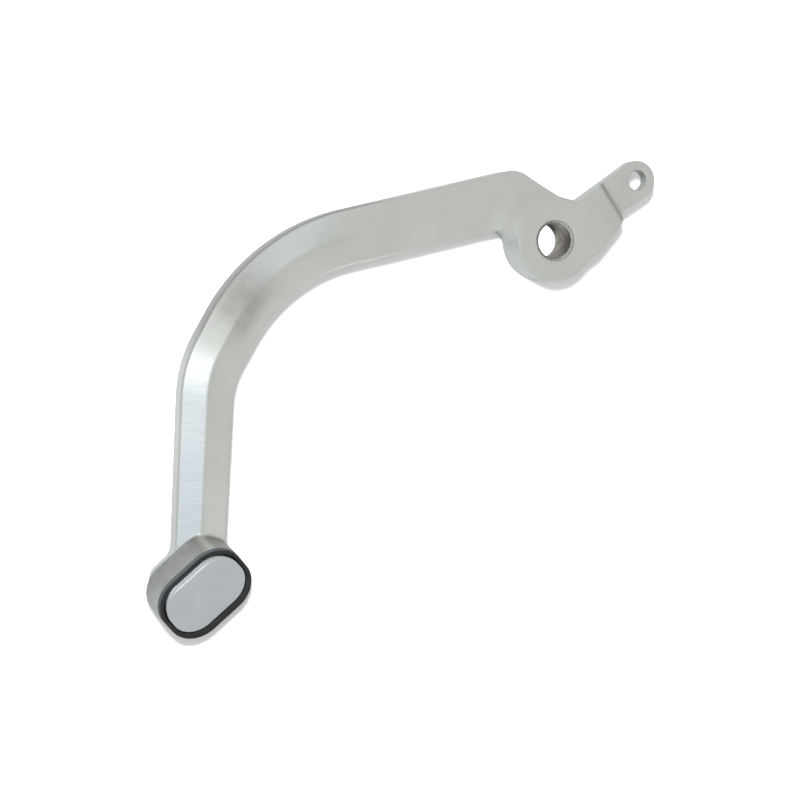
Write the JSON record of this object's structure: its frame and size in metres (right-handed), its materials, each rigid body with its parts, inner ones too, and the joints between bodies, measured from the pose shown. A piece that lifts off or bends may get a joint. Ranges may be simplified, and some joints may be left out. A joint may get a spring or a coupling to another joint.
{
  "type": "rear brake pedal",
  "caption": "Motorbike rear brake pedal: forged aluminium lever with a bushed pivot boss, push rod ear, ridged curved arm and a tilted rubber-edged foot pad.",
  "frame": {"origin": "on the pivot axis, in the plane of the lever's flat back", "axes": "+Z along the pivot axis from the back to the outer face; +X from the pivot towards the push rod ear's side, the arm runs towards -X and then -Y"},
  "size_m": [0.2221, 0.1978, 0.0267],
  "materials": {
    "forged_aluminium": "fine brushed satin",
    "bronze_bush": "oiled sliding surface",
    "pad_rubber": "matt moulded",
    "pad_plate": "bead-blasted satin",
    "zinc_steel": "zinc plated"
  },
  "bodies": {
    "root": {"lever": "forged_aluminium", "pivot_bush": "bronze_bush", "pad_rubber": "pad_rubber", "pad_plate": "pad_plate", "pad_washer": "zinc_steel", "pad_nut": "zinc_steel"}
  },
  "joints": []
}
